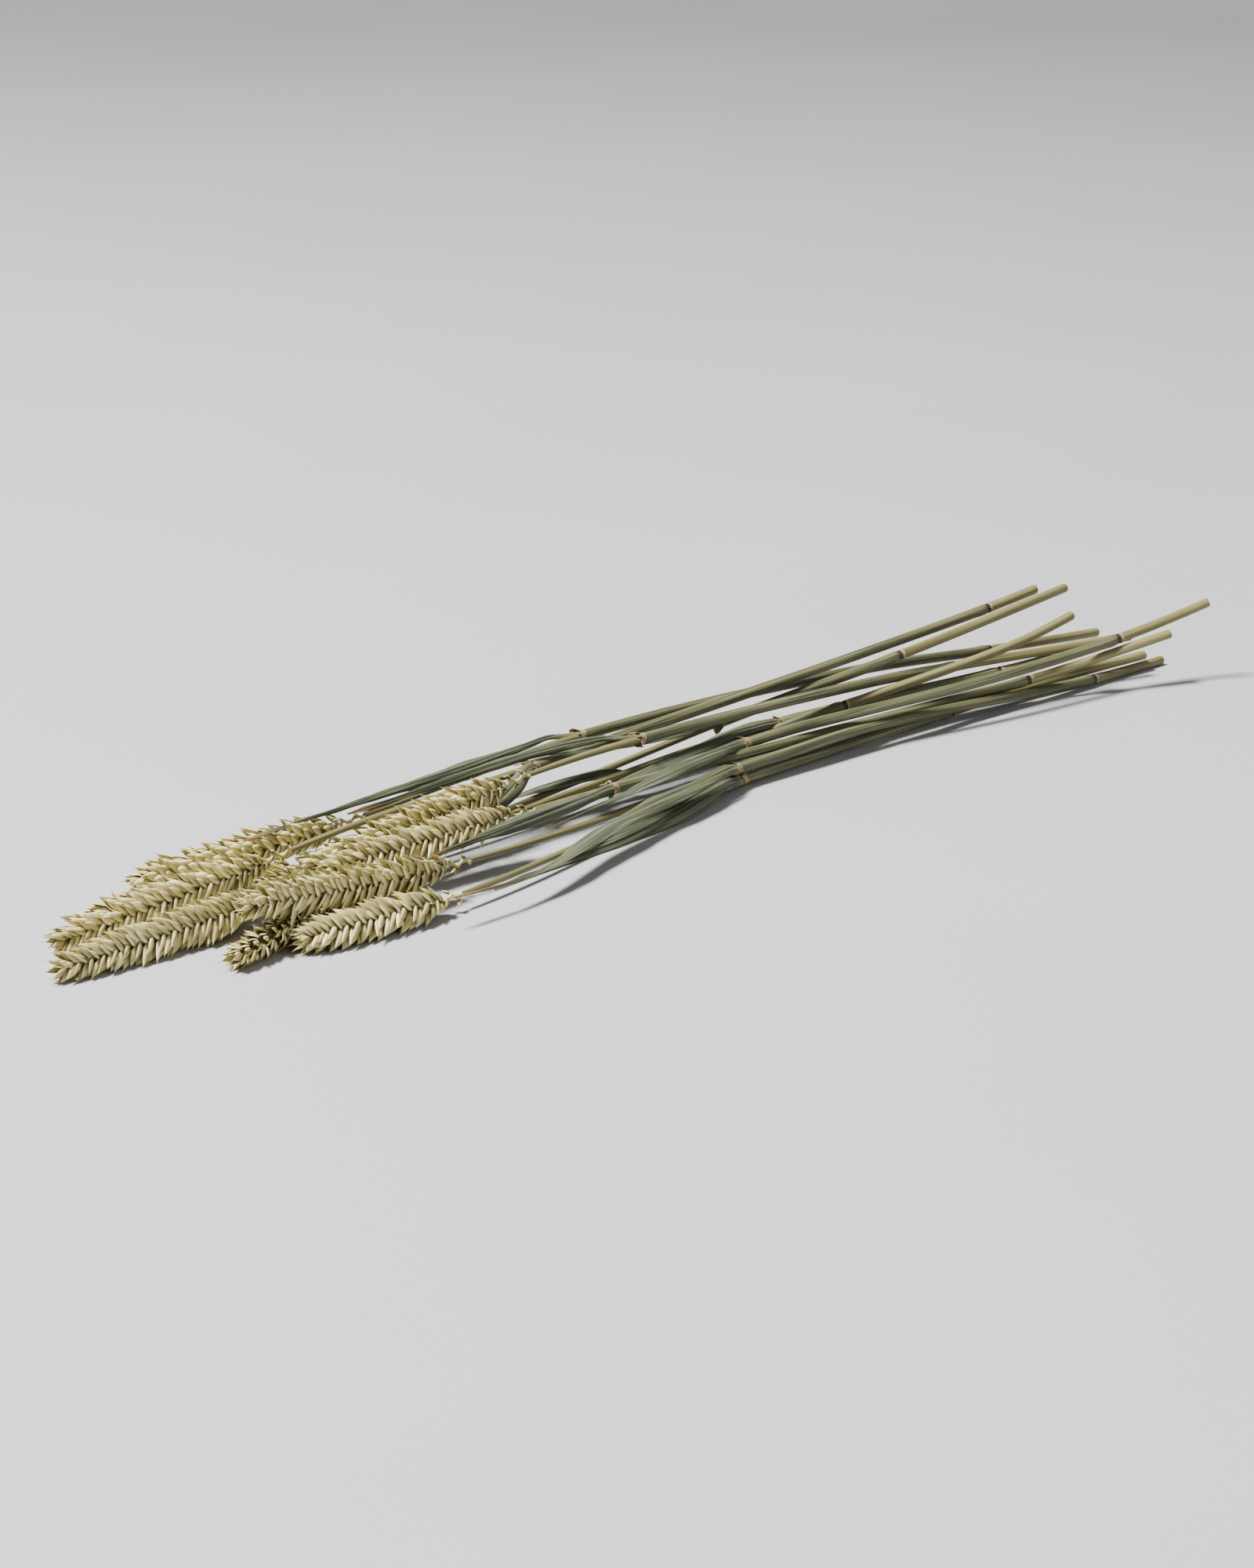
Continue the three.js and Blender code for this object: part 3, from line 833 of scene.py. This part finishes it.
def finish(name, across, along, colours, ends, margin, patch, cover, rough, bump):
    """Streak colours, ends as (reach, colour, share), margin as (start, end, colour), blotch colour."""
    material = bpy.data.materials.new(name)
    material.use_nodes = True
    tree = material.node_tree
    shader = tree.nodes["Principled BSDF"]
    fibre = add(tree, "Group", {}, node_tree=fibres)
    fibre.inputs["Across"].default_value = across
    fibre.inputs["Along"].default_value = along
    blotch = add(tree, "Group", {}, node_tree=blotches)
    blotch.inputs["Cover"].default_value = cover
    streak = fibre.outputs["Streak"]
    stops = [(0.34 + 0.32 * i / (len(colours) - 1), screen(*colour)) for i, colour in enumerate(colours)]
    colour = ramp(tree, streak, stops)
    reach = add(tree, "Attribute", {}, attribute_name="reach").outputs["Fac"]
    # colours by reach; on the husks the dark ones at the root are painted shade of the cleft between husks
    end_colour = ramp(tree, reach, [(place, screen(*shown)) for place, shown, _ in ends])
    end_share = ramp(tree, reach, [(place, grey(share)) for place, _, share in ends])
    colour = mixed(tree, end_share, colour, end_colour)
    # on the husks this pale margin is partly their own pale paper and partly painted light coming through
    # the thin edge
    if margin:
        grain = add(tree, "Attribute", {}, attribute_name="grain").outputs["Vector"]
        aside = add(tree, "SeparateXYZ", {"Vector": grain}).outputs["X"]
        aside = add(tree, "Math", {0: aside}, operation="ABSOLUTE").outputs[0]
        edge = add(tree, "MapRange", {"Value": aside, "From Min": margin[0], "From Max": margin[1]})
        colour = mixed(tree, edge.outputs[0], colour, screen(*margin[2]))
    patched = mixed(tree, PATCH_SHARE, colour, screen(*patch))
    colour = mixed(tree, blotch.outputs["Mask"], colour, patched)
    tone = add(tree, "Attribute", {}, attribute_name="tone").outputs["Fac"]
    shade = ramp(tree, tone, [(0.0, grey(DARKEST_TONE)), (1.0, grey(1.0))])
    colour = mixed(tree, 1.0, colour, shade, "MULTIPLY")
    tree.links.new(colour, shader.inputs["Base Color"])
    dry = add(tree, "MapRange", {"Value": streak, "To Min": rough - ROUGH_SPREAD,
                                 "To Max": rough + ROUGH_SPREAD})
    tree.links.new(dry.outputs[0], shader.inputs["Roughness"])
    relief = add(tree, "Bump", {"Height": fibre.outputs["Height"], "Strength": bump, "Distance": RELIEF})
    tree.links.new(relief.outputs["Normal"], shader.inputs["Normal"])
    shader.inputs["Specular IOR Level"].default_value = 0.35
    return material


# %% [markdown]
# ### Husks and leaves
# A husk is cream and olive paper. Towards its root it is painted dark with the shade of the cleft
# where it grows, over its own olive; its thin edges are painted palest, partly its own pale paper and
# partly painted light coming through it. A dry leaf is grey-green, with a pale root in the cuff and a
# brown brittle tip. Both are dull.

# %% The finishes of ear and leaf
husk_finish = finish(
    "papery husk", 2.6, 0.22,
    [(110, 96, 46), (184, 169, 100), (251, 240, 178)],
    # painted shade: the near-black and olive colours at the root (reach 0 to 0.35) darken the cleft between
    # husks, over the husk's own olive base
    [(0.0, (52, 44, 20), 0.95), (0.35, (104, 92, 46), 0.55), (0.75, (216, 202, 144), 0.2),
     (1.0, (252, 240, 182), 0.9)],
    # the margin colour paints the thin edges palest: partly the husk's own pale paper, partly painted light
    # coming through it
    (1.0, 2.1, (252, 240, 182)), (128, 124, 70), 0.42, 0.6, 0.5)
leaf_finish = finish(
    "dry leaf", 2.2, 0.03,
    [(36, 41, 29), (64, 70, 51), (112, 116, 90)],
    [(0.0, (146, 126, 90), 0.9), (0.02, (122, 108, 74), 0.7), (0.05, (70, 71, 48), 0.3),
     (0.3, (60, 66, 46), 0.1), (0.86, (76, 73, 49), 0.2), (1.0, (192, 148, 108), 0.9)],
    None, (82, 78, 51), 0.36, 0.6, 0.6)
print("finishes:", husk_finish.name + ",", leaf_finish.name)

# %% [markdown]
# ### The straw
# The sheath is ribbed and grey-green, and the naked stem under it is yellow and almost polished. The
# knot has a dark band beside a papery one. One straw wears all four finishes, face by face.

# %% The finishes of the straw
sheath_finish = finish(
    "ribbed sheath", 2.4, 0.03,
    [(48, 50, 31), (79, 81, 55), (124, 125, 92)],
    [(0.0, (84, 82, 54), 0.3), (0.5, (70, 73, 49), 0.1), (1.0, (110, 102, 66), 0.3)],
    None, (98, 93, 58), 0.38, 0.52, 0.6)
stem_finish = finish(
    "polished straw", 2.0, 0.02,
    [(76, 72, 41), (110, 105, 66), (148, 142, 98)],
    [(0.0, (84, 81, 50), 0.5), (0.5, (88, 86, 54), 0.2), (1.0, (124, 115, 70), 0.4)],
    None, (116, 106, 60), 0.35, 0.42, 0.35)
knot_finish = finish(
    "dark knot", 1.6, 0.4,
    [(28, 25, 15), (46, 40, 25), (68, 60, 38)],
    [(0.0, (42, 38, 23), 0.2), (1.0, (47, 41, 25), 0.2)],
    None, (35, 30, 18), 0.4, 0.5, 0.5)
paper_finish = finish(
    "papery cuff", 2.8, 0.4,
    [(112, 92, 62), (158, 140, 102), (204, 190, 150)],
    [(0.0, (146, 124, 86), 0.2), (1.0, (138, 122, 82), 0.4)],
    None, (132, 98, 70), 0.45, 0.65, 0.5)
straw_finishes = [sheath_finish, stem_finish, knot_finish, paper_finish]
print("finishes:", [material.name for material in straw_finishes])

# %% [markdown]
# ## The pieces
# Each skin becomes one object that stands for its node of the frame. All thirty ride on the one body.

# %% Make the thirty pieces
pieces = []
for number in range(1, STALKS + 1):
    ending = f"_{number:02d}"
    pieces.append(ear_skins[number].piece("wheat_ear" + ending, [husk_finish], "ear" + ending, "ear"))
    pieces.append(straw_skins[number].piece("stalk" + ending, straw_finishes, "straw" + ending, "straw"))
    pieces.append(leaf_skins[number].piece("leaf" + ending, [leaf_finish], "blade" + ending, "blade"))
print(len(pieces), "pieces with", sum(len(piece.data.polygons) for piece in pieces), "faces")

# %% [markdown]
# ## The floor
# The bundle lies on a plain pale floor. A flat sheet would show its edge from a low side view, so the
# floor is a very wide bowl: flat under the bundle, and curved up all round, far away.

# %% Floor
FLAT_RADIUS, RIM_RADIUS, RIM_HEIGHT = 3.0, 6.0, 3.2  # in metres
INNER_RADIUS = 0.6  # of the first ring of faces, in metres
FLOOR_SIDES = 96
BENDS = 12  # rings in the curve


def floor_finish():
    """Smooth pale paper with the faintest clouds."""
    material = bpy.data.materials.new("pale floor")
    material.use_nodes = True
    tree = material.node_tree
    shader = tree.nodes["Principled BSDF"]
    place = add(tree, "TexCoord", {}).outputs["Object"]
    cloud = add(tree, "TexNoise", {"Vector": place, "Scale": 3.0, "Detail": 3.0}).outputs["Fac"]
    colour = ramp(tree, cloud, [(0.3, grey(0.315)), (0.7, grey(0.335))])
    tree.links.new(colour, shader.inputs["Base Color"])
    shader.inputs["Roughness"].default_value = 0.8
    return material


def bowl():
    """The mesh of the floor, as rings round its middle."""
    profile = [(INNER_RADIUS, 0.0), (FLAT_RADIUS, 0.0)]
    for step in range(1, BENDS + 1):
        bend = math.pi / 2 * step / BENDS
        out = FLAT_RADIUS + (RIM_RADIUS - FLAT_RADIUS) * math.sin(bend)
        profile.append((out, RIM_HEIGHT * (1 - math.cos(bend))))
    spots = [(0.0, 0.0, 0.0)]
    for out, height in profile:
        for side in range(FLOOR_SIDES):
            turn = 2 * math.pi * side / FLOOR_SIDES
            spots.append((out * math.cos(turn), out * math.sin(turn), height))
    faces = [(0, 1 + side, 1 + (side + 1) % FLOOR_SIDES) for side in range(FLOOR_SIDES)]
    for ring in range(len(profile) - 1):
        low = 1 + ring * FLOOR_SIDES
        high = low + FLOOR_SIDES
        for side in range(FLOOR_SIDES):
            beside = (side + 1) % FLOOR_SIDES
            faces.append((low + side, high + side, high + beside, low + beside))
    mesh = bpy.data.meshes.new("floor")
    mesh.from_pydata(spots, [], faces)
    mesh.shade_smooth()
    mesh.materials.append(floor_finish())
    return mesh


floor = bpy.data.objects.new("floor", bowl())
bpy.context.scene.collection.objects.link(floor)
print("floor, in m across:", 2 * RIM_RADIUS)

# %% [markdown]
# ## The light
# Husks show their shape only under a light with a direction. A lamp high up on the left gives them
# light and shadow sides, a weak wide one from the right keeps the shadows open, and a pale world fills
# in from all round. The lamps' places are counted from the bundle, as the camera sees it.

# %% Lights
eye = Vector((-0.920, -0.967, 0.434))  # where the camera stands, in metres
middle = Vector([(a + b) / 2 for a, b in zip(*cad_box)])
ahead = (middle - eye).normalized()
above = Vector((0, 0, 1))
right = ahead.cross(above).normalized()
KEY_WATTS, KEY_ACROSS = 620, 0.85
FILL_WATTS, FILL_ACROSS = 22, 2.2
WORLD_STRENGTH = 0.4


def lamp(name, place, size, power):
    """A round area lamp that looks at the bundle."""
    light = bpy.data.lights.new(name, "AREA")
    light.shape = "DISK"
    light.size = size
    light.energy = power
    made = bpy.data.objects.new(name, light)
    made.location = place
    made.rotation_euler = (middle - place).to_track_quat("-Z", "Y").to_euler()
    bpy.context.scene.collection.objects.link(made)
    return made


key = lamp("key lamp", middle - right * 1.7 + above * 2.85 - ahead * 0.6, KEY_ACROSS, KEY_WATTS)
fill = lamp("fill lamp", middle + right * 2.5 + above * 1.5 - ahead * 1.7, FILL_ACROSS, FILL_WATTS)
world = bpy.data.worlds.new("pale room")
world.use_nodes = True
background = world.node_tree.nodes["Background"]
background.inputs["Color"].default_value = grey(0.8)
background.inputs["Strength"].default_value = WORLD_STRENGTH
bpy.context.scene.world = world
for made in (key, fill):
    print(made.name, "stands", round((made.location - middle).length, 2), "m from the bundle")

# %% [markdown]
# ## The camera
# It stands a little above the table, in front of the ears, and looks along the bundle. Its aim and
# its lens could be typed in, but they follow from the bundle here: the ears and straws are centred
# and fill most of the frame's width, even when a size in the frame changes.

# %% Camera
FRAME_SHARE = 0.93  # of the frame's width, filled by the bundle
SENSOR = 36  # mm across
AIM_ROUNDS = 4  # aiming again a few times settles the middle
lens_camera = bpy.data.cameras.new("camera")
lens_camera.sensor_fit = "HORIZONTAL"
lens_camera.sensor_width = SENSOR
camera = bpy.data.objects.new("camera", lens_camera)
camera.location = eye
bpy.context.scene.collection.objects.link(camera)
bpy.context.scene.camera = camera
framed = (*ear_skins.values(), *straw_skins.values())
seen = [point for skin in framed for point in skin.points[::7]]
for _ in range(AIM_ROUNDS):
    turned = ahead.to_track_quat("-Z", "Y")
    views = [turned.inverted() @ (point - eye) for point in seen]
    across = [view.x / -view.z for view in views]
    upward = [view.y / -view.z for view in views]
    centre = Vector(((min(across) + max(across)) / 2, (min(upward) + max(upward)) / 2, -1))
    ahead = (turned @ centre).normalized()
camera.rotation_euler = ahead.to_track_quat("-Z", "Y").to_euler()
lens_camera.lens = SENSOR * FRAME_SHARE / (max(across) - min(across))
print("lens, in mm:", round(lens_camera.lens, 1))
